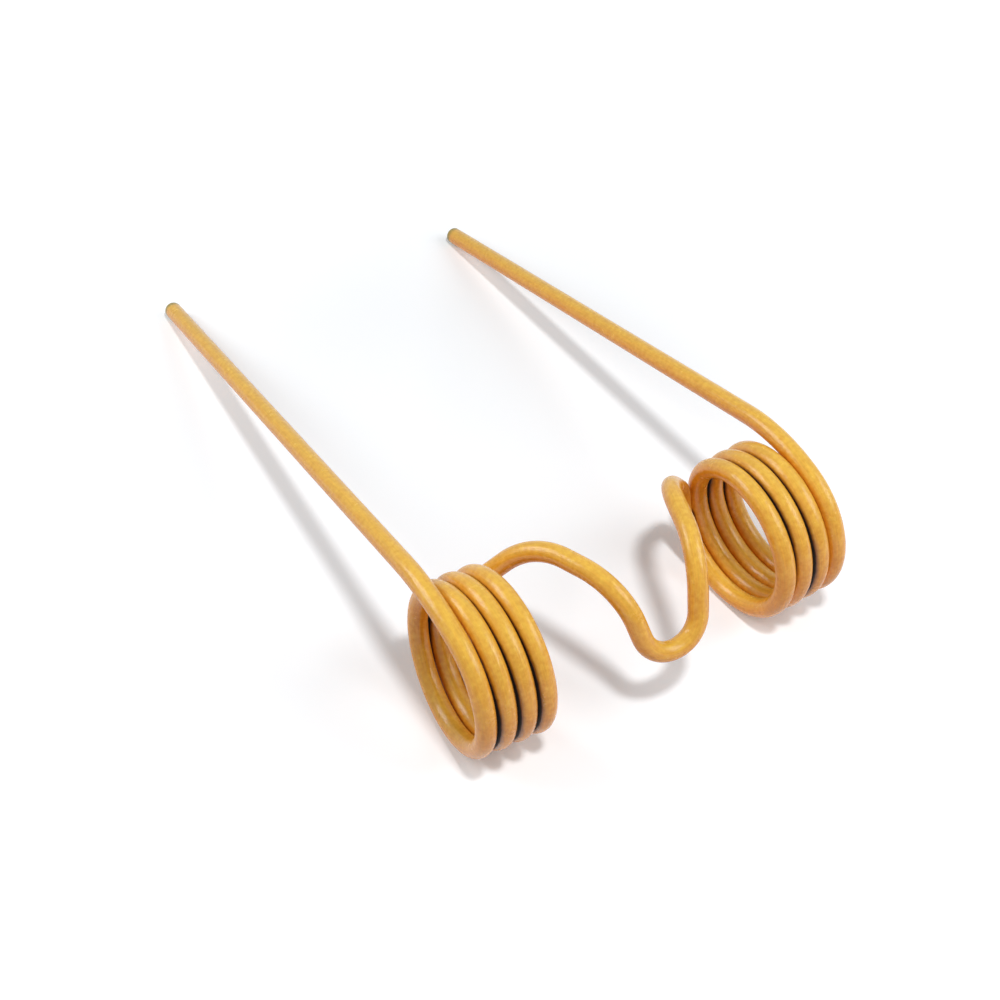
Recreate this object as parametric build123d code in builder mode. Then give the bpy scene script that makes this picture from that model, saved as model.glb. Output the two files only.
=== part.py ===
from build123d import *
import os
from math import cos, radians, sin, sqrt, tan

# Twin rake tine: one length of round spring wire, bent cold into two coils, each with a long
# tine, and joined by a bridge that dips in the middle into a loop for the mounting bolt.
# Lengths are millimetres and angles are degrees. +Z is up. +Y runs from the coils to the tips.
# The left half lies at negative X. The right half mirrors it, apart from its tine's length.

# Wire
WIRE_DIAMETER = 9.0
TIP_ROUNDING = 1.2

# Coils
COIL_BORE = 58.5
COIL_TURNS = 3.7
TURN_GAP = 0.4
COIL_SPACING = 112.0       # between the inner ends of the two coils
COIL_START_ANGLE = 105.0   # where the first turn begins, counted from the rear over the top
COIL_TOE = 1.6             # turn of each coil's axis, seen from above
COIL_CAMBER = 3.3          # dip of each coil's axis towards the middle

# Tines
LEFT_TINE_LENGTH = 307.0
RIGHT_TINE_LENGTH = 290.0
TINE_TOE = 1.0             # turn of each tine towards the middle, seen from above
LEAD_IN_RUN = 23.0         # from the start of the coil to the corner of the lead-in bend

# Bridge, by the corners of its centre line
EXIT_RISE = 6.5            # from the end of the coil to the first corner
HUMP_REAR_INSET = 21.5     # from the end of the coil towards the middle
HUMP_REAR_SETBACK = 11.4   # forward of the back of the coil
HUMP_REAR_DROP = 2.7       # below the top of the coil
HUMP_FRONT_SPACING = 39.0  # between the two front corners
HUMP_FRONT_SETBACK = 14.0  # behind the front of the coil
HUMP_FRONT_RISE = 2.4      # above the top of the coil
LOOP_SPACING = 24.0        # between the two corners of the bolt loop
LOOP_REACH = 3.5           # in front of the coil
LOOP_RISE = 2.4            # above the axis of the coil

# A bend takes this share of the straight run that its corner leaves it
BEND_SHARE = 0.98

wire_radius = WIRE_DIAMETER / 2
coil_radius = (COIL_BORE + WIRE_DIAMETER) / 2
coil_pitch = WIRE_DIAMETER + TURN_GAP
coil_length = coil_pitch * COIL_TURNS
axis_height = coil_radius + wire_radius
coil_top = axis_height + coil_radius


def bend_radii(corners):
    """Radius of each inner corner. The first and last runs serve one bend, the others serve two."""
    runs = [after - before for before, after in zip(corners, corners[1:])]
    room = [run.length / 2 for run in runs]
    room[0] = runs[0].length
    room[-1] = runs[-1].length
    radii = []
    for i in range(len(runs) - 1):
        half_turn = radians(runs[i].get_angle(runs[i + 1])) / 2
        radii.append(BEND_SHARE * min(room[i], room[i + 1]) / tan(half_turn))
    return radii


def mirrored(corners):
    """The same corners on the other side of the middle, in the order that the wire meets them."""
    return [Vector(-corner.X, corner.Y, corner.Z) for corner in reversed(corners)]


# Each coil stands on the plane across its axis at its inner end: X to the rear, Y up, and Z
# along the axis towards the middle.
toe = radians(COIL_TOE)
camber = radians(COIL_CAMBER)
coil_end_plane = Plane(
    origin=(-COIL_SPACING / 2, 0, axis_height),
    x_dir=(sin(toe), cos(toe), 0),
    z_dir=(cos(toe) * cos(camber), -sin(toe) * cos(camber), -sin(camber)),
)
coil_start = coil_end_plane.offset(-coil_length).location * Rotation(0, 0, COIL_START_ANGLE)

with BuildLine() as upright_coil:
    Helix(pitch=coil_pitch, height=coil_length, radius=coil_radius)
left_coil = upright_coil.edge().moved(coil_start)
right_coil = left_coil.mirror(Plane.YZ)

# The lead-in corner lies on the tangent at the start of the coil, and the tip lies on the floor
lead_in_corner = left_coil @ 0 - (left_coil % 0) * LEAD_IN_RUN


def tine_corners(length):
    """Corners of a left-hand tine, from the tip over the lead-in bend to the start of the coil."""
    drop = lead_in_corner.Z - wire_radius
    reach = sqrt(length**2 - drop**2)
    toe_in = radians(TINE_TOE)
    tip = lead_in_corner + Vector(reach * sin(toe_in), reach * cos(toe_in), -drop)
    return [tip, lead_in_corner, left_coil @ 0]


left_tine = tine_corners(LEFT_TINE_LENGTH)
right_tine = mirrored(tine_corners(RIGHT_TINE_LENGTH))

# The bridge leaves the coil upwards, humps over it and dips into the loop
left_bridge = [
    left_coil @ 1,
    left_coil @ 1 + (left_coil % 1) * EXIT_RISE,
    Vector(
        -COIL_SPACING / 2 + HUMP_REAR_INSET,
        coil_radius - HUMP_REAR_SETBACK,
        coil_top - HUMP_REAR_DROP,
    ),
    Vector(
        -HUMP_FRONT_SPACING / 2,
        -coil_radius + HUMP_FRONT_SETBACK,
        coil_top + HUMP_FRONT_RISE,
    ),
    Vector(-LOOP_SPACING / 2, -coil_radius - LOOP_REACH, axis_height + LOOP_RISE),
]
bridge = left_bridge + mirrored(left_bridge)

with BuildLine() as centre_line:
    FilletPolyline(*left_tine, radius=bend_radii(left_tine))
    add(left_coil)
    FilletPolyline(*bridge, radius=bend_radii(bridge))
    add(right_coil)
    FilletPolyline(*right_tine, radius=bend_radii(right_tine))

# The wire, cut square at both tips, with the edges of the cuts rounded
with BuildPart() as bent_wire:
    left_tip, left_corner = left_tine[:2]
    with BuildSketch(Plane(origin=left_tip, z_dir=left_corner - left_tip)):
        Circle(wire_radius)
    sweep(path=centre_line.wire())
    tip_edges = bent_wire.faces().filter_by(GeomType.PLANE).edges()
    fillet(tip_edges, TIP_ROUNDING)

# It lies on its coils and tips, with the origin on the floor under the middle of its box
box = bent_wire.part.bounding_box()
with BuildPart() as rake_tine:
    add(bent_wire.part.moved(Location((-box.center().X, -box.center().Y, -box.min.Z))))
rake_tine.part.label = "rake_tine"

os.makedirs("parts", exist_ok=True)
export_step(rake_tine.part, "parts/rake_tine.step")

bends = bend_radii(left_tine) + bend_radii(bridge)[:len(left_bridge) - 1]
print("bend radii from tip to loop:", [round(radius, 1) for radius in bends])
print("wire length:", round(centre_line.wire().length, 1), "volume:", round(rake_tine.part.volume))
print("box:", rake_tine.part.bounding_box(), "moved by", -box.center().X, -box.center().Y, -box.min.Z)
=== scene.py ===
# %% [markdown]
# # A painted rake tine, bent from one wire
#
# The object is a twin spring tine from a hay rake: one round steel wire, wound into two coils,
# with two long straight tines and a humped bridge between the coils that dips into a bolt loop.
# It is painted in golden yellow enamel. It lies on a white surface, on its coils and tips.
#
# A wire is the simplest thing to describe and the easiest to get wrong: it has one thickness all
# the way, so every kink, flat spot or pinch shows. So the lesson builds it as a spring maker does,
# from a list of bends, and lets a node tree push one round section along them.

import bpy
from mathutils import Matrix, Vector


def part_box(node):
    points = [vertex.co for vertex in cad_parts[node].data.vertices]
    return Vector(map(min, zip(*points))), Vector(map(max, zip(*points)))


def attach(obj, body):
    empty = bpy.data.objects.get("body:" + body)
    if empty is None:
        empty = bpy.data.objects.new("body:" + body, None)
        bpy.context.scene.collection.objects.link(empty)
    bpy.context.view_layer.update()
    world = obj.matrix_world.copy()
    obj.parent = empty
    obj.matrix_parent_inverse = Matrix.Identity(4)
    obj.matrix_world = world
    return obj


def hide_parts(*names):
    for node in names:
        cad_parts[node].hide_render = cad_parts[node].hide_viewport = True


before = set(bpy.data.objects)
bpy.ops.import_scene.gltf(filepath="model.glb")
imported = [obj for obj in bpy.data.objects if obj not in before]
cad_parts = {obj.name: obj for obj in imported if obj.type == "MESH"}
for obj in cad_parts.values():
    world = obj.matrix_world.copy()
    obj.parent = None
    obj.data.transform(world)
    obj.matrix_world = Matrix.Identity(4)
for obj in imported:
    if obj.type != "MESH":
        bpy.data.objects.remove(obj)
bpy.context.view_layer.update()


def rounded(point, digits=4):
    """A point, short enough to print."""
    return tuple(round(v, digits) for v in point)


# %% [markdown]
# ## An empty stage
#
# Blender may open with a cube, a lamp and a camera of its own. They aren't part of the lesson, so
# they go, and only the measured model stays.

# %% Clear what Blender brings along
import math
import bpy
from mathutils import Matrix, Vector

for name in ("Cube", "Light", "Camera"):
    leftover = bpy.data.objects.get(name)
    if leftover is not None and leftover.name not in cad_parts:
        bpy.data.objects.remove(leftover)

# %% [markdown]
# ## The sizes of the bends
#
# These are the sizes that the model in the frame was made with, in millimetres, so they are turned
# into metres once, here. The wire starts at the tip of the left tine. Angles round a coil are
# counted from its back, over its top. Toe is a turn seen from above, and camber is a tilt seen from
# the front, as on a pair of wheels.

# %% Sizes
MM = 0.001

WIRE_DIAMETER = 9.0 * MM
CUT_ROUNDING = 1.2 * MM

COIL_BORE = 58.5 * MM
COIL_TURNS = 3.7
TURN_GAP = 0.4 * MM
COIL_SPACING = 112.0 * MM
COIL_START = math.radians(105.0)
COIL_TOE = math.radians(1.6)
COIL_CAMBER = math.radians(3.3)

LEFT_TINE = 307.0 * MM
RIGHT_TINE = 290.0 * MM
TINE_TOE = math.radians(1.0)
LEAD_IN_RUN = 23.0 * MM

EXIT_RISE = 6.5 * MM
HUMP_REAR_INSET = 21.5 * MM
HUMP_REAR_SETBACK = 11.4 * MM
HUMP_REAR_DROP = 2.7 * MM
HUMP_FRONT_SPACING = 39.0 * MM
HUMP_FRONT_SETBACK = 14.0 * MM
HUMP_FRONT_RISE = 2.4 * MM
LOOP_SPACING = 24.0 * MM
LOOP_REACH = 3.5 * MM
LOOP_RISE = 2.4 * MM
BEND_SHARE = 0.98

wire_radius = WIRE_DIAMETER / 2
coil_radius = (COIL_BORE + WIRE_DIAMETER) / 2
coil_pitch = WIRE_DIAMETER + TURN_GAP
axis_height = coil_radius + wire_radius
coil_top = axis_height + coil_radius
coil_outside = 2 * (coil_radius + wire_radius)
print("coil:", round(coil_outside / MM, 1), "mm outside,", round(coil_pitch / MM, 1), "mm a turn")

# %% [markdown]
# ## One coil
#
# Real springs like this are wound on a mandrel, so their centre line is a true helix. It could be
# drawn as a curve by hand, but a helix is a formula: one turn of angle adds one pitch along the
# axis. The axis is turned a little, because the two coils of the real part aren't quite in line.

# %% The helix of the left coil
COIL_STEP = math.radians(1.5)

coil_axes = Matrix.Rotation(-COIL_TOE, 3, "Z") @ Matrix.Rotation(COIL_CAMBER, 3, "Y")
coil_centre = Vector((-COIL_SPACING / 2, 0.0, axis_height))
coil_sweep = 2 * math.pi * COIL_TURNS


def coil_outward(angle):
    """The way from the coil's axis to the wire, after that much winding."""
    turn = COIL_START + angle
    return coil_axes @ Vector((0.0, math.cos(turn), math.sin(turn)))


def on_coil(angle):
    """A point on the left coil's centre line, after that much winding."""
    along = coil_pitch * (angle - coil_sweep) / (2 * math.pi)
    return coil_centre + coil_axes @ Vector((along, 0.0, 0.0)) + coil_outward(angle) * coil_radius


def coil_heading(angle):
    """The direction of the wire there."""
    turn = COIL_START + angle
    rise = coil_pitch / (2 * math.pi)
    heading = Vector((rise, -coil_radius * math.sin(turn), coil_radius * math.cos(turn)))
    return (coil_axes @ heading).normalized()


steps = round(coil_sweep / COIL_STEP)
left_coil = [on_coil(coil_sweep * i / steps) for i in range(steps + 1)]
print(len(left_coil), "points on the coil, from", rounded(left_coil[0] / MM, 1), "mm")

# %% [markdown]
# ## The corners of the tines and the bridge
#
# Everything outside the coils is straight runs with bends between them. A bend is given by the
# corner where its two runs would meet and by a radius. The two halves of the part mirror each
# other, apart from the length of the tines, so only the left half is written down.

# %% Corners of the tines
lead_in = left_coil[0] - coil_heading(0.0) * LEAD_IN_RUN


def tine_corners(length):
    """Tip, lead-in corner and coil start of a left-hand tine, with its tip on the floor."""
    drop = lead_in.z - wire_radius
    reach = math.sqrt(length**2 - drop**2)
    tip = lead_in + Vector((reach * math.sin(TINE_TOE), reach * math.cos(TINE_TOE), -drop))
    return [tip, lead_in, left_coil[0]]


def flipped(v):
    """The same point or direction on the other side of the middle."""
    return Vector((-v.x, v.y, v.z))


def mirrored(points):
    """The same points on the other side, in the order that the wire meets them."""
    return [flipped(p) for p in reversed(points)]


left_tine = tine_corners(LEFT_TINE)
right_tine = mirrored(tine_corners(RIGHT_TINE))
print("tips, mm:", rounded(left_tine[0] / MM, 1), "and", rounded(right_tine[-1] / MM, 1))

# %% [markdown]
# ## The hump and the loop
#
# The wire leaves the coil upwards, turns over the rear and then over the front of the hump, and
# drops into the loop that the bolt holds. Each corner is placed by a few distances from the coil
# beside it and from the middle of the part, as one would measure them on a real one.

# %% Corners of the bridge
rear_of_hump = Vector((
    -COIL_SPACING / 2 + HUMP_REAR_INSET,
    coil_radius - HUMP_REAR_SETBACK,
    coil_top - HUMP_REAR_DROP,
))
front_of_hump = Vector((
    -HUMP_FRONT_SPACING / 2,
    -coil_radius + HUMP_FRONT_SETBACK,
    coil_top + HUMP_FRONT_RISE,
))
bottom_of_loop = Vector((-LOOP_SPACING / 2, -coil_radius - LOOP_REACH, axis_height + LOOP_RISE))
half_bridge = [
    left_coil[-1],
    left_coil[-1] + coil_heading(coil_sweep) * EXIT_RISE,
    rear_of_hump,
    front_of_hump,
    bottom_of_loop,
]
bridge = half_bridge + mirrored(half_bridge)
print(len(bridge), "corners from coil to coil")

# %% [markdown]
# ## How wide every corner bends
#
# Each radius is as large as the two runs beside its corner leave room for. That is what makes the
# bridge flow instead of looking folded.

# %% A radius for every corner
def bend_radii(corners):
    """The radius at each corner, 0 at the two ends. End runs serve one bend, others serve two."""
    runs = [b - a for a, b in zip(corners, corners[1:])]
    room = [run.length / 2 for run in runs]
    room[0] = runs[0].length
    room[-1] = runs[-1].length
    radii = [0.0]
    for i in range(len(runs) - 1):
        half_turn = runs[i].angle(runs[i + 1]) / 2
        radii.append(BEND_SHARE * min(room[i], room[i + 1]) / math.tan(half_turn))
    return radii + [0.0]


print("bridge bends, mm:", [round(r / MM, 1) for r in bend_radii(bridge)[1:5]])

# %% [markdown]
# ## Painted shade between the turns
#
# The grooves where two turns almost touch lie in shade, and that shade is painted into the colour
# as a dark line. On the real part it is narrow on top of the coils and wide at their front, and one
# gap of the right-hand coil shows almost none. Inside the coils it is widest at the upper back. Each
# line gets a width, from 0 for a thin dark edge to 1 for dark up to the crest, given at a few
# places along the winding. Below 0 the dark edge fades too.

# %% The lines between the turns
NO_LINE = -1.0

# Widths of the dark lines of painted shade in the grooves between the turns.
# Outside the coils: turns from the outer end, width
left_lines = [
    (0.0, 0.0), (0.1, 0.3), (0.18, 0.6), (0.3, 0.64), (0.5, 0.45), (0.8, 0.3),
    (0.93, 0.14), (1.0, 0.2), (1.12, 0.5), (1.2, 0.62), (1.3, 0.64), (1.5, 0.45), (1.8, 0.3),
    (1.93, 0.14), (2.0, 0.2), (2.12, 0.5), (2.2, 0.62), (2.3, 0.6), (2.5, 0.4), (2.6, 0.2), (2.7, 0.0),
]
right_lines = [
    (0.0, 0.0), (0.3, 0.04), (0.6, 0.2), (0.8, 0.3), (0.95, 0.32), (1.05, 0.4),
    (1.15, 0.6), (1.3, 0.68), (1.5, 0.45), (1.8, 0.3), (1.93, 0.34), (2.04, 0.46), (2.1, 0.44),
    (2.18, 0.26), (2.3, 0.18), (2.5, 0.2), (2.6, 0.2), (2.7, 0.0),
]
# Inside the coils: degrees round the coil, width
inside_lines = [
    (0, 0.6), (50, 0.68), (90, 0.58), (130, 0.34), (180, 0.0), (220, -0.14), (270, -0.24), (310, -0.04),
    (335, 0.3), (360, 0.6),
]
print("widest line, as a share:", max(width for _, width in left_lines + right_lines + inside_lines))

# %% [markdown]
# ## A width for every point of a coil
#
# Between two given places the width changes evenly. Every point on a coil gets three widths: for
# the line on the side of the next turn, for the one on the side of the turn before, and for the
# lines inside the coil.

# %% Widths along the winding
def width_at(lines, place):
    """Width of a line at that place, between the places where it is given."""
    for (before, low), (after, high) in zip(lines, lines[1:]):
        if place <= after:
            share = (place - before) / (after - before)
            return low + (high - low) * share
    return lines[-1][1]


def outer_line(lines, turns):
    """Width of the line between this turn and the next, counted in turns from the outer end."""
    has_line = 0.0 <= turns <= COIL_TURNS - 1.0
    return width_at(lines, turns) if has_line else NO_LINE


def coil_values(lines):
    """For every coil point: line towards the next turn, towards the one before, and inside."""
    values = []
    for i in range(steps + 1):
        turns = COIL_TURNS * i / steps
        round_coil = (math.degrees(COIL_START) + 360 * turns) % 360
        inside = width_at(inside_lines, round_coil)
        values.append((outer_line(lines, turns), outer_line(lines, turns - 1.0), inside))
    return values


print("lines inside the left coil:", [round(v[2], 2) for v in coil_values(left_lines)[::120]])

# %% [markdown]
# ## The whole centre line
#
# The stretches are put end to end as one chain of points. Each point carries the radius that its
# corner is to be bent to, and the points along a coil carry none, because they lie on their curve
# already. Coil points also carry the way to the next turn, the way out from the coil's axis and
# their lines. Neighbouring stretches share a point, so each later one drops its first.

# %% One chain of points
to_next = coil_axes @ Vector((1.0, 0.0, 0.0))
outward = [coil_outward(coil_sweep * i / steps) for i in range(steps + 1)]
nowhere = Vector((0.0, 0.0, 0.0))


def plain_stretch(points):
    """Rows of point, way to the next turn, way out, and the carried values, for plain wire."""
    no_lines = (NO_LINE, NO_LINE, NO_LINE)
    return [(p, nowhere, nowhere, r, *no_lines) for p, r in zip(points, bend_radii(points))]


left_values, right_values = coil_values(left_lines), coil_values(right_lines)
left_winding = [
    (p, to_next, out, 0.0, *values) for p, out, values in zip(left_coil, outward, left_values)]
right_winding = [
    (flipped(p), flipped(to_next), flipped(out), 0.0, *values)
    for p, out, values in zip(left_coil, outward, right_values)
]
right_winding.reverse()
chain = plain_stretch(left_tine)[:1]
stretches = (
    plain_stretch(left_tine),
    left_winding,
    plain_stretch(bridge),
    right_winding,
    plain_stretch(right_tine),
)
for stretch in stretches:
    chain += stretch[1:]
print(len(chain), "points from tip to tip")

# %% [markdown]
# ## The chain as a mesh
#
# Geometry Nodes start from an object, so the chain becomes a mesh of points and edges without
# faces. What each point carries is stored on it as attributes.

# %% A mesh of points and edges
CARRIED = ("bend_radius", "line_to_next", "line_to_last", "line_inside")

line_mesh = bpy.data.meshes.new("bend_line")
line_mesh.from_pydata([row[0] for row in chain], [(i, i + 1) for i in range(len(chain) - 1)], [])
for name, column in (("to_next_turn", 1), ("out_of_coil", 2)):
    data = line_mesh.attributes.new(name, "FLOAT_VECTOR", "POINT").data
    data.foreach_set("vector", [v for row in chain for v in row[column]])
for column, name in enumerate(CARRIED, start=3):
    data = line_mesh.attributes.new(name, "FLOAT", "POINT").data
    data.foreach_set("value", [row[column] for row in chain])
bend_line = bpy.data.objects.new("bend_line", line_mesh)
bpy.context.scene.collection.objects.link(bend_line)
print("carried along:", ", ".join(("to_next_turn", "out_of_coil") + CARRIED))

# %% [markdown]
# ## The tree that draws the wire
#
# Bevelling a curve would give a round wire too, but its ends would be sharp discs and nothing
# would say where along the wire a point lies. The tree does four things instead. It rounds the
# corners, walks along the line and sets a ring at every step, shrinks the last few rings so that
# the cut ends have a soft edge, and skins the rings. Every point of the skin keeps what the paint
# needs to know: how far along the wire and how far from the nearer tip it lies, on which side of
# the section, how much it faces up, and how deep it lies in the line between two turns.
#
# A tree built in a script gets long, so three helpers come first. They add a calculation, add a
# node with its inputs by name, and give a tree its own named inputs. They also serve the materials.

# %% Small helpers for building trees
def value_node(tree, operation, *inputs, clamp=False):
    """A Math node. Each input is a number or an output socket, and the result is its output."""
    node = tree.nodes.new("ShaderNodeMath")
    node.operation = operation
    node.use_clamp = clamp
    for socket, given in zip(node.inputs, inputs):
        if isinstance(given, (int, float)):
            socket.default_value = given
        else:
            tree.links.new(given, socket)
    return node.outputs[0]


def add_node(tree, kind, settings=None, **inputs):
    """A node of that kind. Inputs are given by name, with _ for a space, as values or sockets."""
    node = tree.nodes.new(kind)
    for key, value in (settings or {}).items():
        setattr(node, key, value)
    for key, given in inputs.items():
        socket = next(s for s in node.inputs if s.enabled and s.name == key.replace("_", " "))
        if isinstance(given, bpy.types.NodeSocket):
            tree.links.new(given, socket)
        else:
            socket.default_value = given
    return node


def named_inputs(tree, sockets):
    """Adds inputs to a tree, from (name, socket type, value) rows."""
    for name, kind, value in sockets:
        socket = tree.interface.new_socket(name=name, in_out="INPUT", socket_type=kind)
        if value is not None:
            socket.default_value = value


print("helpers: value_node, add_node and named_inputs")

# %% [markdown]
# ## The sizes that the tree takes
#
# They are inputs of the tree, so the same tree could draw another wire. The rings stand a sixth of
# the wire's diameter apart, close enough for every bend to look round.

# %% The wire tree and its inputs
wire_tree = bpy.data.node_groups.new("round_wire_along_bends", "GeometryNodeTree")
named_inputs(wire_tree, [
    ("Geometry", "NodeSocketGeometry", None),
    ("Wire Diameter", "NodeSocketFloat", WIRE_DIAMETER),
    ("Cut Rounding", "NodeSocketFloat", CUT_ROUNDING),
    ("Cut Rings", "NodeSocketInt", 6),
    ("Ring Spacing", "NodeSocketFloat", 1.5 * MM),
    ("Sides", "NodeSocketInt", 48),
    ("Bend Steps", "NodeSocketInt", 40),
    ("Paint", "NodeSocketMaterial", None),
])
wire_tree.interface.new_socket(name="Geometry", in_out="OUTPUT", socket_type="NodeSocketGeometry")
given = wire_tree.nodes.new("NodeGroupInput").outputs
print("wire tree inputs:", [s.name for s in wire_tree.interface.items_tree if s.in_out == "INPUT"])

# %% [markdown]
# ## Bend the line and count the rings
#
# Fillet Curve rounds each corner to the radius that its point carries. The length of the bent line
# says how many evenly spaced rings it needs, and a few more stand close together at each cut.

# %% Bent line and rings
def read(name, kind="FLOAT"):
    """Reads a value stored under that name."""
    settings = {"data_type": kind}
    return add_node(wire_tree, "GeometryNodeInputNamedAttribute", settings, Name=name).outputs[0]


to_curve = add_node(wire_tree, "GeometryNodeMeshToCurve", Mesh=given["Geometry"])
bent = add_node(
    wire_tree, "GeometryNodeFilletCurve", {"mode": "POLY"}, Curve=to_curve.outputs[0],
    Count=given["Bend Steps"], Radius=read("bend_radius"), Limit_Radius=True,
)
length = add_node(wire_tree, "GeometryNodeCurveLength", Curve=bent.outputs[0]).outputs[0]

spacings = value_node(wire_tree, "DIVIDE", length, given["Ring Spacing"])
even_rings = value_node(wire_tree, "ROUND", spacings)
cut_rings = given["Cut Rings"]
last_ring = value_node(wire_tree, "ADD", even_rings, value_node(wire_tree, "MULTIPLY", cut_rings, 2.0))
rings = add_node(
    wire_tree, "GeometryNodeMeshLine", {"mode": "OFFSET"},
    Count=value_node(wire_tree, "ADD", last_ring, 1.0), Offset=(0.0, 0.0, 0.0),
)
print("so far", len(wire_tree.nodes), "nodes")

# %% [markdown]
# ## Where each ring stands
#
# Every ring has a number, counted from the left tip. The first and last few follow a quarter
# circle, which rounds the edge of the cut, and the others share the length between them evenly.
# Each ring is then put on the bent line, at its own distance from the start.

# %% Places of the rings
index = wire_tree.nodes.new("GeometryNodeInputIndex").outputs[0]
from_last = value_node(wire_tree, "SUBTRACT", last_ring, index)
to_nearer_cut = value_node(wire_tree, "MINIMUM", index, from_last)
past_the_edge = value_node(wire_tree, "DIVIDE", to_nearer_cut, cut_rings, clamp=True)
round_angle = value_node(wire_tree, "MULTIPLY", past_the_edge, math.pi / 2)
past_first_cut = value_node(wire_tree, "SUBTRACT", index, cut_rings)
along_middle = value_node(wire_tree, "DIVIDE", past_first_cut, even_rings, clamp=True)

rounding = given["Cut Rounding"]
both_edges = value_node(wire_tree, "MULTIPLY", rounding, 2.0)
even_length = value_node(wire_tree, "SUBTRACT", length, both_edges)
station = value_node(wire_tree, "MULTIPLY_ADD", along_middle, even_length, rounding)
pull_in = value_node(wire_tree, "MULTIPLY", value_node(wire_tree, "COSINE", round_angle), rounding)
which_end = value_node(wire_tree, "SIGN", value_node(wire_tree, "SUBTRACT", index, from_last))
station = value_node(wire_tree, "MULTIPLY_ADD", pull_in, which_end, station)
stand_at = add_node(
    wire_tree, "GeometryNodeSampleCurve", {"mode": "LENGTH"}, Curves=bent.outputs[0], Length=station)
placed = add_node(
    wire_tree, "GeometryNodeSetPosition",
    Geometry=rings.outputs[0], Position=stand_at.outputs["Position"],
)
print("so far", len(wire_tree.nodes), "nodes")

# %% [markdown]
# ## What each ring keeps
#
# A stored value survives when the rings are skinned, so everything that the paint will ask for is
# stored now: the size of the ring, its places along the wire, and what the bent line carries there.

# %% Values on the rings
def keep(geometry, name, value, kind="FLOAT"):
    """Stores a value on every point of the geometry under that name."""
    node = add_node(
        wire_tree, "GeometryNodeStoreNamedAttribute", {"data_type": kind, "domain": "POINT"},
        Geometry=geometry, Name=name, Value=value,
    )
    return node.outputs[0]


def along_bends(name, kind="FLOAT"):
    """The value that the bent line has under that name, where each ring stands."""
    node = add_node(
        wire_tree, "GeometryNodeSampleCurve", {"mode": "LENGTH", "data_type": kind},
        Curves=bent.outputs[0], Length=station, Value=read(name, kind),
    )
    return node.outputs["Value"]


lost = value_node(wire_tree, "SUBTRACT", 1.0, value_node(wire_tree, "SINE", round_angle))
full_radius = value_node(wire_tree, "MULTIPLY", given["Wire Diameter"], 0.5)
lost = value_node(wire_tree, "MULTIPLY", lost, rounding)
lost_share = value_node(wire_tree, "DIVIDE", lost, full_radius)
rings_kept = keep(placed.outputs[0], "ring_size", value_node(wire_tree, "SUBTRACT", 1.0, lost_share))
to_far_tip = value_node(wire_tree, "SUBTRACT", length, station)
rings_kept = keep(rings_kept, "from_tip", value_node(wire_tree, "MINIMUM", station, to_far_tip))
rings_kept = keep(rings_kept, "along_wire", station)
for name in ("line_to_next", "line_to_last", "line_inside"):
    rings_kept = keep(rings_kept, name, along_bends(name))
for name in ("to_next_turn", "out_of_coil"):
    rings_kept = keep(rings_kept, name, along_bends(name, "FLOAT_VECTOR"), "FLOAT_VECTOR")
print("so far", len(wire_tree.nodes), "nodes")

# %% [markdown]
# ## The skin
#
# Curve to Mesh pushes a round section along the rings and closes both ends. The section keeps its
# own places too, so that the scratches of the paint know on which side of the wire they run.

# %% A round section along the rings
section = add_node(
    wire_tree, "GeometryNodeCurvePrimitiveCircle", {"mode": "RADIUS"},
    Resolution=given["Sides"], Radius=full_radius,
)
on_section = wire_tree.nodes.new("GeometryNodeInputPosition").outputs[0]
section_kept = keep(section.outputs[0], "on_section", on_section, "FLOAT_VECTOR")
ring_line = add_node(wire_tree, "GeometryNodeMeshToCurve", Mesh=rings_kept)
skin = add_node(
    wire_tree, "GeometryNodeCurveToMesh",
    Curve=ring_line.outputs[0], Profile_Curve=section_kept, Scale=read("ring_size"), Fill_Caps=True,
)
print("so far", len(wire_tree.nodes), "nodes")

# %% [markdown]
# ## How the skin lies
#
# The paint asks whether a place faces up or down, towards which neighbouring turn it faces, and
# whether it is on the outside or the inside of the coil. The last two pick the line's width. A
# place is in the line where that width is more than its height over the bottom of the groove, so
# one number says how deep in the line it is, and it is below 0 outside.

# %% Which way every place faces
skin_normal = wire_tree.nodes.new("GeometryNodeInputNormal").outputs[0]
upright = add_node(wire_tree, "ShaderNodeSeparateXYZ", Vector=skin_normal)
# Facing up is what the colour later uses to paint shade on the undersides.
skin_kept = keep(skin.outputs[0], "faces_up", upright.outputs["Z"])


def facing(name):
    """How much the skin faces the way that is stored under that name, from -1 to 1."""
    node = wire_tree.nodes.new("ShaderNodeVectorMath")
    node.operation = "DOT_PRODUCT"
    wire_tree.links.new(skin_normal, node.inputs[0])
    wire_tree.links.new(read(name, "FLOAT_VECTOR"), node.inputs[1])
    return node.outputs["Value"]


def choose(share, first, second):
    """The first value where the share is 0, the second where it is 1."""
    difference = value_node(wire_tree, "SUBTRACT", second, first)
    return value_node(wire_tree, "MULTIPLY_ADD", share, difference, first)


print("so far", len(wire_tree.nodes), "nodes")

# %% How deep every place lies in a line
END_OF_LINE = 10.0  # A line inside needs one outside, and fades where that is under 1 / 10 wide

faces_turn = facing("to_next_turn")
faces_next = value_node(wire_tree, "GREATER_THAN", faces_turn, 0.0)
outer = choose(faces_next, read("line_to_last"), read("line_to_next"))
has_line = value_node(wire_tree, "MULTIPLY", outer, END_OF_LINE, clamp=True)
inner = choose(has_line, NO_LINE, read("line_inside"))
is_outside = value_node(wire_tree, "GREATER_THAN", facing("out_of_coil"), 0.0)
width = choose(is_outside, inner, outer)
squared = value_node(wire_tree, "MULTIPLY", faces_turn, faces_turn)
rest = value_node(wire_tree, "SUBTRACT", 1.0, squared)
height = value_node(wire_tree, "SQRT", value_node(wire_tree, "MAXIMUM", rest, 0.0))
# How deep a place lies in the line of painted shade along its groove.
skin_kept = keep(skin_kept, "in_shade_line", value_node(wire_tree, "SUBTRACT", width, height))
print("so far", len(wire_tree.nodes), "nodes")

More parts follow.
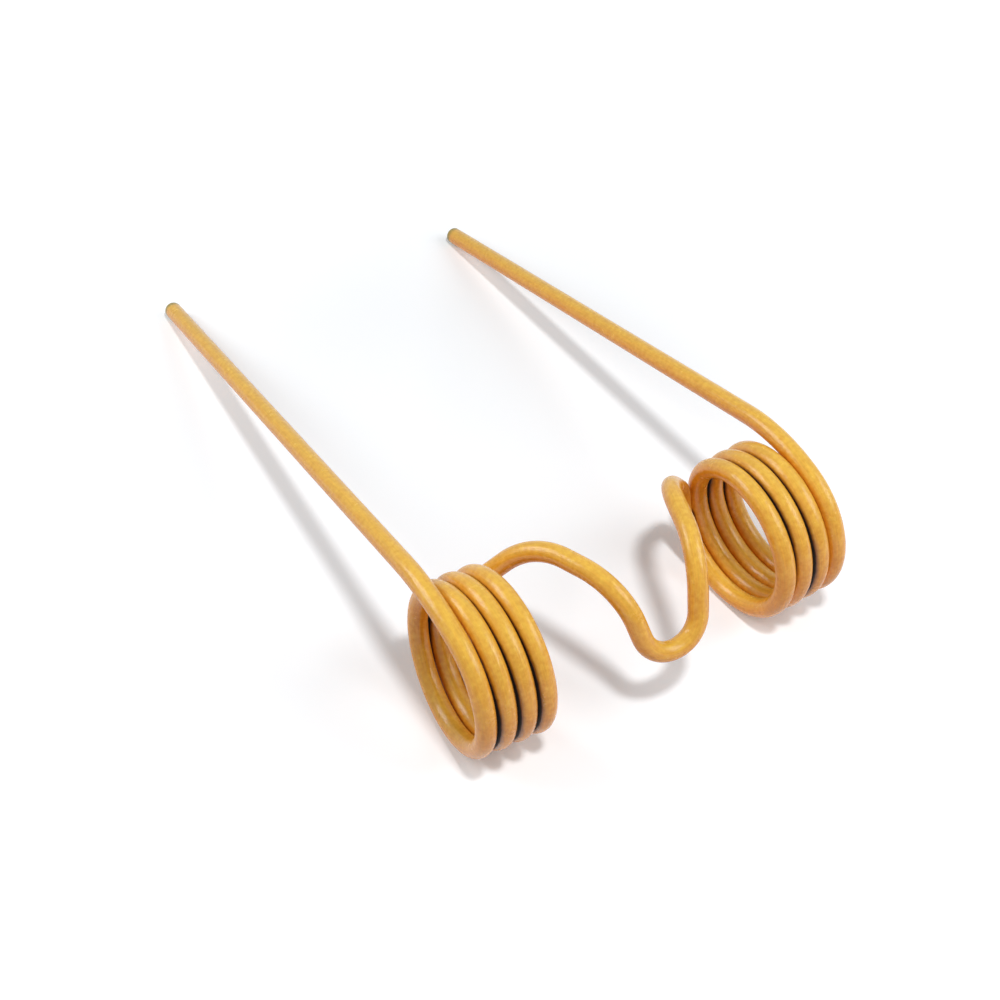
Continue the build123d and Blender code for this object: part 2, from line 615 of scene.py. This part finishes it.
# %% [markdown]
# ## The end of the tree
#
# The skin is shaded smooth and gets its paint. Realize Instances makes sure that all of it is real
# points and faces, because an export would drop anything that is only an instance.

# %% The end of the tree
smooth = add_node(
    wire_tree, "GeometryNodeSetShadeSmooth", {"domain": "FACE"}, Geometry=skin_kept, Shade_Smooth=True)
solid = add_node(wire_tree, "GeometryNodeRealizeInstances", Geometry=smooth.outputs[0])
painted = add_node(
    wire_tree, "GeometryNodeSetMaterial", Geometry=solid.outputs[0], Material=given["Paint"])
out = wire_tree.nodes.new("NodeGroupOutput")
wire_tree.links.new(painted.outputs[0], out.inputs[0])
print(len(wire_tree.nodes), "nodes in the wire tree")

# %% [markdown]
# ## The paint film
#
# The enamel is a sprayed coat on drawn wire. Up close such a film is never flat: it has the fine
# pebbling that painters call orange peel, the long scratches of the drawing die show through it,
# it is duller in some places, and its colour drifts where it ran thicker. The colour also carries
# painted shade: lighter and yellower where the skin faces up, darker and more orange where it faces
# down. A flat yellow with a shine would look like plastic. The effect is a node group, so that
# every coat of this paint has the same skin with its own numbers.

# %% The paint film group
NOISE_MIDDLE = 0.5  # A noise swings about this

film = bpy.data.node_groups.new("enamel_film", "ShaderNodeTree")
named_inputs(film, [
    # The two colours are one paint: lit on top, and in painted shade underneath.
    ("Lit Top Colour", "NodeSocketColor", (0.73, 0.435, 0.054, 1.0)),
    ("Shaded Underside Colour", "NodeSocketColor", (0.72, 0.255, 0.014, 1.0)),
    ("Faces Up", "NodeSocketFloat", 0.0),
    ("Wire Place", "NodeSocketVector", None),
    ("Drift Size", "NodeSocketFloat", 120.0),
    ("Drift Share", "NodeSocketFloat", 0.32),
    ("Speckle Size", "NodeSocketFloat", 480.0),
    ("Speckle Share", "NodeSocketFloat", 0.7),
    ("Scratch Share", "NodeSocketFloat", 0.35),
    ("Pebble Depth", "NodeSocketFloat", 0.2),
    ("Smoothest", "NodeSocketFloat", 0.17),
    ("Dullest", "NodeSocketFloat", 0.29),
])
film_outputs = {
    "Colour": "NodeSocketColor",
    "Roughness": "NodeSocketFloat",
    "Normal": "NodeSocketVector",
}
for name, kind in film_outputs.items():
    film.interface.new_socket(name=name, in_out="OUTPUT", socket_type=kind)
given = film.nodes.new("NodeGroupInput").outputs
place = film.nodes.new("ShaderNodeTexCoord").outputs["Object"]
print("film inputs:", [s.name for s in film.interface.items_tree if s.in_out == "INPUT"])

# %% [markdown]
# ## Three noises
#
# A broad noise makes the drift of the colour, a fine one the specks and the pebbling, and a third,
# which is stretched along the wire by the material, the scratches.

# %% Drift, speckle and scratch
drift = add_node(
    film, "ShaderNodeTexNoise", Vector=place, Scale=given["Drift Size"], Detail=4.0, Roughness=0.6)
speckle = add_node(
    film, "ShaderNodeTexNoise", Vector=place, Scale=given["Speckle Size"], Detail=2.0, Roughness=0.5)
scratch = add_node(
    film, "ShaderNodeTexNoise", Vector=given["Wire Place"], Scale=1.0, Detail=3.0, Roughness=0.6)


def swing(noise, share):
    """The noise, made to swing about 0, times a share."""
    about_zero = value_node(film, "SUBTRACT", noise.outputs[0], NOISE_MIDDLE)
    return value_node(film, "MULTIPLY", about_zero, share)


print("film:", len(film.nodes), "nodes")

# %% [markdown]
# ## The film's colour
#
# It goes from the shaded underside colour to the lit top colour by how much the skin faces up,
# which paints the shade of the undersides, and the noises shift it either way. The specks and the
# scratches also make it a little lighter or darker.

# %% Colour
SHADED_FACING, LIT_FACING = -0.1, 1.1
SPECK_CONTRAST = 0.4


def mixed(tree, share, first, second):
    """A mix of two colours, or of two numbers if the second is written as one, by a share."""
    settings = {"data_type": "FLOAT" if isinstance(second, float) else "RGBA"}
    node = add_node(tree, "ShaderNodeMix", settings, Factor=share, A=first, B=second)
    return next(s for s in node.outputs if s.enabled)


specks = swing(speckle, given["Speckle Share"])
# Painted shade: the skin takes the darker orange where it faces down and the lighter yellow on top.
lit_share_and_drift = add_node(
    film, "ShaderNodeMapRange", Value=given["Faces Up"], From_Min=SHADED_FACING, From_Max=LIT_FACING)
lit_share_and_drift = value_node(film, "ADD", lit_share_and_drift.outputs[0], swing(drift, given["Drift Share"]))
lit_share_and_drift = value_node(film, "ADD", lit_share_and_drift, specks, clamp=True)
colour = mixed(film, lit_share_and_drift, given["Shaded Underside Colour"], given["Lit Top Colour"])
brightness = value_node(film, "MULTIPLY_ADD", specks, SPECK_CONTRAST, 1.0)
brightness = value_node(film, "ADD", brightness, swing(scratch, given["Scratch Share"]))
speckled = add_node(film, "ShaderNodeHueSaturation", Color=colour, Value=brightness)
print("film:", len(film.nodes), "nodes")

# %% [markdown]
# ## The film's gloss and pebbling
#
# The drift also makes the film duller in some places than in others. The specks and the scratches
# are its bumps, so that the colour and the relief belong together.

# %% Gloss and pebbling
DRIFT_LOW, DRIFT_HIGH = 0.3, 0.7
SCRATCH_HEIGHT = 0.5
PEBBLE_HEIGHT = 0.6 * MM

dullness = add_node(
    film, "ShaderNodeMapRange", Value=drift.outputs[0], From_Min=DRIFT_LOW, From_Max=DRIFT_HIGH,
    To_Min=given["Smoothest"], To_Max=given["Dullest"],
)
heights = value_node(film, "MULTIPLY_ADD", scratch.outputs[0], SCRATCH_HEIGHT, speckle.outputs[0])
skin_bump = add_node(
    film, "ShaderNodeBump", Strength=given["Pebble Depth"], Distance=PEBBLE_HEIGHT, Height=heights)
out = film.nodes.new("NodeGroupOutput")
film.links.new(speckled.outputs[0], out.inputs["Colour"])
film.links.new(dullness.outputs[0], out.inputs["Roughness"])
film.links.new(skin_bump.outputs[0], out.inputs["Normal"])
print("film:", len(film.nodes), "nodes, with outputs", [s.name for s in out.inputs if s.name])

# %% [markdown]
# ## Ragged borders: painted groove shade and olive cut ends
#
# Two marks have a ragged border: the painted shade in the lines between the turns, and the cut
# ends, where a film draws back from a sharp edge and what stays looks olive. One group makes such a
# mask from any value that grows towards the marked place.

# %% The ragged edge group
ragged = bpy.data.node_groups.new("ragged_edge", "ShaderNodeTree")
named_inputs(ragged, [
    ("Value", "NodeSocketFloat", 0.0),
    ("Starts At", "NodeSocketFloat", -0.1),
    ("Full At", "NodeSocketFloat", 0.1),
    ("Tatters", "NodeSocketFloat", 0.1),
    ("Tatter Size", "NodeSocketFloat", 300.0),
])
ragged.interface.new_socket(name="Mask", in_out="OUTPUT", socket_type="NodeSocketFloat")
given = ragged.nodes.new("NodeGroupInput").outputs
place = ragged.nodes.new("ShaderNodeTexCoord").outputs["Object"]
tatter = add_node(
    ragged, "ShaderNodeTexNoise", Vector=place, Scale=given["Tatter Size"], Detail=3.0, Roughness=0.6)
tattered = value_node(ragged, "SUBTRACT", tatter.outputs[0], NOISE_MIDDLE)
tattered = value_node(ragged, "MULTIPLY_ADD", tattered, given["Tatters"], given["Value"])
mask = add_node(
    ragged, "ShaderNodeMapRange", {"interpolation_type": "SMOOTHSTEP"},
    Value=tattered, From_Min=given["Starts At"], From_Max=given["Full At"],
)
out = ragged.nodes.new("NodeGroupOutput")
ragged.links.new(mask.outputs[0], out.inputs["Mask"])
print("ragged edge inputs:", [s.name for s in ragged.interface.items_tree if s.in_out == "INPUT"])

# %% [markdown]
# ## The enamel
#
# The material reads what the wire tree stored and puts four colours over each other: the film,
# olive at the cut ends, a brown painted shade at the edge of each line, and near-black painted shade
# in the line itself. Two more helpers come first, for a group and for a stored value.

# %% The enamel and its helpers
enamel = bpy.data.materials.new("golden_enamel")
enamel.use_nodes = True
tree = enamel.node_tree
shader = tree.nodes["Principled BSDF"]


def group_node(group, **inputs):
    """A group in the enamel. Inputs are given by name, with _ for a space."""
    return add_node(tree, "ShaderNodeGroup", {"node_tree": group}, **inputs)


def stored(name):
    """A value that the wire tree stored on the skin."""
    return add_node(tree, "ShaderNodeAttribute", {"attribute_name": name}).outputs["Fac"]


print("enamel:", len(tree.nodes), "nodes to start with")

# %% [markdown]
# ## The film on the wire
#
# Scratches run along the wire, so their noise is read in the wire's own places: the distance along
# it, and the place on the round section. The second is magnified far more than the first, which
# draws each scratch out along the wire.

# %% The film on the wire
ALONG_SCALE = 90.0
SECTION_SCALE = 1500.0

section_place = add_node(tree, "ShaderNodeAttribute", {"attribute_name": "on_section"})
section_xyz = add_node(tree, "ShaderNodeSeparateXYZ", Vector=section_place.outputs["Vector"])
wire_place = add_node(
    tree, "ShaderNodeCombineXYZ",
    X=value_node(tree, "MULTIPLY", stored("along_wire"), ALONG_SCALE),
    Y=value_node(tree, "MULTIPLY", section_xyz.outputs["X"], SECTION_SCALE),
    Z=value_node(tree, "MULTIPLY", section_xyz.outputs["Y"], SECTION_SCALE),
).outputs[0]
coat = group_node(film, Faces_Up=stored("faces_up"), Wire_Place=wire_place)
print("enamel:", len(tree.nodes), "nodes")

# %% [markdown]
# ## The three masks
#
# The brown and the near-black painted shade both follow the depth in the line, and the brown
# starts further out. The cut ends follow the distance from the tip. It is counted in millimetres
# and turned negative, because the mask wants a value that grows towards the marked place.

# %% Masks for the painted groove shade and the cut ends
OLIVE_SHARE = 0.88

in_shade_line = stored("in_shade_line")
shade_edge_mask = group_node(ragged, Value=in_shade_line, Starts_At=-0.3, Full_At=0.08, Tatters=0.25).outputs[0]
groove_shade_mask = group_node(ragged, Value=in_shade_line, Starts_At=-0.04, Full_At=0.14, Tatters=0.16).outputs[0]
tip_distance = value_node(tree, "MULTIPLY", stored("from_tip"), -1 / MM)
at_cut = group_node(
    ragged, Value=tip_distance, Starts_At=-5.4, Full_At=-1.4, Tatters=2.4, Tatter_Size=420.0)
at_cut = value_node(tree, "MULTIPLY", at_cut.outputs[0], OLIVE_SHARE)
print("enamel:", len(tree.nodes), "nodes")

# %% [markdown]
# ## From four colours to one surface
#
# Each mask lays the next colour over the one before. The painted shade in the lines is also duller
# than the film. The film's relief goes over all of it, and its index of refraction is that of enamel.

# %% Colours, gloss and relief together
OLIVE = (0.24, 0.2, 0.035, 1.0)
# The brown edge and the near-black core of the painted shade in the grooves.
PAINTED_SHADE_EDGE = (0.26, 0.085, 0.018, 1.0)
PAINTED_GROOVE_SHADE = (0.014, 0.008, 0.005, 1.0)
GROOVE_ROUGHNESS = 0.75
ENAMEL_IOR = 1.47

colour = mixed(tree, at_cut, coat.outputs["Colour"], OLIVE)
# The painted groove shade goes over the film: brown at its edge, near-black in its core.
colour = mixed(tree, shade_edge_mask, colour, PAINTED_SHADE_EDGE)
colour = mixed(tree, groove_shade_mask, colour, PAINTED_GROOVE_SHADE)
dull = mixed(tree, groove_shade_mask, coat.outputs["Roughness"], GROOVE_ROUGHNESS)
tree.links.new(colour, shader.inputs["Base Color"])
tree.links.new(dull, shader.inputs["Roughness"])
tree.links.new(coat.outputs["Normal"], shader.inputs["Normal"])
shader.inputs["IOR"].default_value = ENAMEL_IOR
print("enamel:", len(tree.nodes), "nodes")

# %% [markdown]
# ## From bends to a mesh
#
# The tree runs once, with the sizes from above. Its result is then kept as a plain mesh and the
# line and the modifier go, so that the finished wire is only points and faces.

# %% Run the tree and keep a plain mesh
made_by = bend_line.modifiers.new("wire", "NODES")
made_by.node_group = wire_tree
sockets = {s.name: s.identifier for s in wire_tree.interface.items_tree if s.in_out == "INPUT"}
made_by[sockets["Wire Diameter"]] = WIRE_DIAMETER
made_by[sockets["Cut Rounding"]] = CUT_ROUNDING
made_by[sockets["Paint"]] = enamel
bpy.context.view_layer.update()
depsgraph = bpy.context.evaluated_depsgraph_get()
wire_mesh = bpy.data.meshes.new_from_object(bend_line.evaluated_get(depsgraph), depsgraph=depsgraph)
wire_mesh.name = "painted_wire"
painted_wire = bpy.data.objects.new("painted_wire", wire_mesh)
bpy.context.scene.collection.objects.link(painted_wire)
bpy.data.objects.remove(bend_line)
wire_mesh.calc_loop_triangles()
print(len(wire_mesh.vertices), "points,", len(wire_mesh.loop_triangles), "triangles")
print("paint:", [m.name for m in wire_mesh.materials])
print("values:", sorted(a.name for a in wire_mesh.attributes))

# %% [markdown]
# ## Lay it where the measured model lies
#
# The bends were worked out from the coils, and the frame has its zero on the floor under the
# middle of the part. So the mesh is moved to the measured model's box. The measured model is made
# of facets that lie a few hundredths of a millimetre inside the round wire, and the last step
# takes that up, so that the painted wire is never the larger one.

# %% Move the mesh into the frame
low = Vector([min(v.co[i] for v in wire_mesh.vertices) for i in range(3)])
high = Vector([max(v.co[i] for v in wire_mesh.vertices) for i in range(3)])
node_low, node_high = (Vector(corner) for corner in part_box("rake_tine"))
fit = Vector([(b - a) / (d - c) for a, b, c, d in zip(node_low, node_high, low, high)])
wire_mesh.transform(
    Matrix.Translation(node_low) @ Matrix.Diagonal(fit).to_4x4() @ Matrix.Translation(-low))
print("moved by", rounded((node_low - low) / MM, 3), "mm and sized by", rounded(fit, 5))

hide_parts("rake_tine")
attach(painted_wire, "root")

# %% [markdown]
# ## The surface it lies on
#
# The photograph was taken on a white sheet. A white floor under a lamp is only as bright as its
# paint, so a little light of its own is added where the camera or a reflection sees it. The
# shadow stays, because near the object that part is much smaller than what the lamps give. Far
# from the object the lamps fade, and the floor's own light takes over. The sheet is a touch bluer
# than grey, as bleached paper is, and that keeps the shadows neutral beside the warm paint.

# %% The floor
FLOOR_REACH = 4.0

floor_mesh = bpy.data.meshes.new("floor")
corners = [(x * FLOOR_REACH, y * FLOOR_REACH, 0.0) for x, y in ((-1, -1), (1, -1), (1, 1), (-1, 1))]
floor_mesh.from_pydata(corners, [], [(0, 1, 2, 3)])
floor = bpy.data.objects.new("floor", floor_mesh)
bpy.context.scene.collection.objects.link(floor)
print("floor:", 2 * FLOOR_REACH, "m wide")

# %% The white sheet
SHEET_COLOUR = (0.87, 0.895, 0.92, 1.0)
WHITE = (1.0, 1.0, 1.0, 1.0)
OWN_LIGHT_NEAR = 0.09
OWN_LIGHT_FAR = 1.0
NEAR, FAR = 0.1, 0.55


def seen_directly(tree):
    """1 where the camera, a reflection or glass sees this, 0 where it only lights other things."""
    rays = tree.nodes.new("ShaderNodeLightPath").outputs
    glossy_or_glass = value_node(tree, "MAXIMUM", rays["Is Glossy Ray"], rays["Is Transmission Ray"])
    return value_node(tree, "MAXIMUM", rays["Is Camera Ray"], glossy_or_glass)


sheet = bpy.data.materials.new("white_sheet")
sheet.use_nodes = True
tree = sheet.node_tree
tree.nodes.clear()
matt = add_node(tree, "ShaderNodeBsdfDiffuse", Color=SHEET_COLOUR)
floor_place = tree.nodes.new("ShaderNodeTexCoord").outputs["Object"]
distance = add_node(tree, "ShaderNodeVectorMath", {"operation": "LENGTH"}, Vector=floor_place)
ramp = add_node(
    tree, "ShaderNodeMapRange", {"interpolation_type": "SMOOTHSTEP"},
    Value=distance.outputs["Value"], From_Min=NEAR, From_Max=FAR,
    To_Min=OWN_LIGHT_NEAR, To_Max=OWN_LIGHT_FAR,
)
own_light = value_node(tree, "MULTIPLY", seen_directly(tree), ramp.outputs[0])
glow = add_node(tree, "ShaderNodeEmission", Color=WHITE, Strength=own_light)
both = tree.nodes.new("ShaderNodeAddShader")
tree.links.new(matt.outputs[0], both.inputs[0])
tree.links.new(glow.outputs[0], both.inputs[1])
surface = tree.nodes.new("ShaderNodeOutputMaterial")
tree.links.new(both.outputs[0], surface.inputs[0])
floor_mesh.materials.append(sheet)
print("sheet: its own light grows from", NEAR, "to", FAR, "m")

# %% [markdown]
# ## Light
#
# Glossy wire is lit best from two sides: one large soft lamp behind at the left and one in front at
# the right run a pale streak along both flanks of every bend, and the first also reaches down into
# the coils. A smaller lamp overhead draws the clear shadow of each tine. It is kept out of the
# reflections, where it would put a hard dot between the two streaks. Together with a dim room they
# add up to a plain level, at which a colour looks about as it is written.

# %% Room and lamps
ROOM_LIGHT = 0.1

world = bpy.data.worlds.new("studio")
world.use_nodes = True
bpy.context.scene.world = world
background = world.node_tree.nodes["Background"]
background.inputs["Color"].default_value = WHITE
seen = seen_directly(world.node_tree)
room = value_node(world.node_tree, "MULTIPLY_ADD", seen, 1.0 - ROOM_LIGHT, ROOM_LIGHT)
world.node_tree.links.new(room, background.inputs["Strength"])


def lamp(name, share, at, width, shape="SQUARE"):
    """A soft lamp aimed at the object. On a white floor below, it alone gives that share of white."""
    at = Vector(at)
    data = bpy.data.lights.new(name, "AREA")
    data.shape = shape
    data.size = width
    data.energy = share * math.pi**2 * at.length_squared * at.length / at.z
    made = bpy.data.objects.new(name, data)
    bpy.context.scene.collection.objects.link(made)
    made.matrix_world = Matrix.Translation(at) @ at.to_track_quat("Z", "Y").to_matrix().to_4x4()
    print(name, round(data.energy, 2), "W")
    return made


overhead = lamp("overhead_lamp", share=0.45, at=(-0.08, -0.42, 1.05), width=0.12, shape="DISK")
overhead.visible_glossy = False
lamp("rear_left_softbox", share=0.3, at=(-0.67, 0.49, 0.69), width=0.6)
lamp("front_right_softbox", share=0.25, at=(0.6, -0.54, 0.72), width=0.6)

# %% [markdown]
# ## Camera
#
# The camera stands in front of the coils, to the left, and looks down at half a right angle. Its
# place is written as three angles, a distance and the point it aims at, because that is how one
# would move a tripod.

# %% Camera
VIEW_AZIMUTH = math.radians(-32.8)
VIEW_HEIGHT = math.radians(47.21)
VIEW_ROLL = math.radians(2.13)
VIEW_DISTANCE = 0.76466
VIEW_TARGET = Vector((0.0138, -0.0118, -0.0264))
LENS = 53.17
SENSOR_WIDTH = 36.0

back = Vector((
    math.sin(VIEW_AZIMUTH) * math.cos(VIEW_HEIGHT),
    -math.cos(VIEW_AZIMUTH) * math.cos(VIEW_HEIGHT),
    math.sin(VIEW_HEIGHT),
))
right = Vector((math.cos(VIEW_AZIMUTH), math.sin(VIEW_AZIMUTH), 0.0))
up = back.cross(right)
rolled_right = right * math.cos(VIEW_ROLL) + up * math.sin(VIEW_ROLL)
rolled_up = up * math.cos(VIEW_ROLL) - right * math.sin(VIEW_ROLL)
camera = bpy.data.cameras.new("camera")
camera.lens = LENS
camera.sensor_width = SENSOR_WIDTH
camera_object = bpy.data.objects.new("camera", camera)
bpy.context.scene.collection.objects.link(camera_object)
stands_at = VIEW_TARGET + back * VIEW_DISTANCE
turned = Matrix((rolled_right, rolled_up, back)).transposed()
camera_object.matrix_world = Matrix.Translation(stands_at) @ turned.to_4x4()
bpy.context.scene.camera = camera_object
print("camera at", rounded(stands_at, 3))

# %% [markdown]
# ## Colour handling
#
# A film-like view would bend the yellow. The plain view shows each colour as it was written.

# %% Colour handling
bpy.context.scene.view_settings.view_transform = "Standard"
print("view:", bpy.context.scene.view_settings.view_transform)
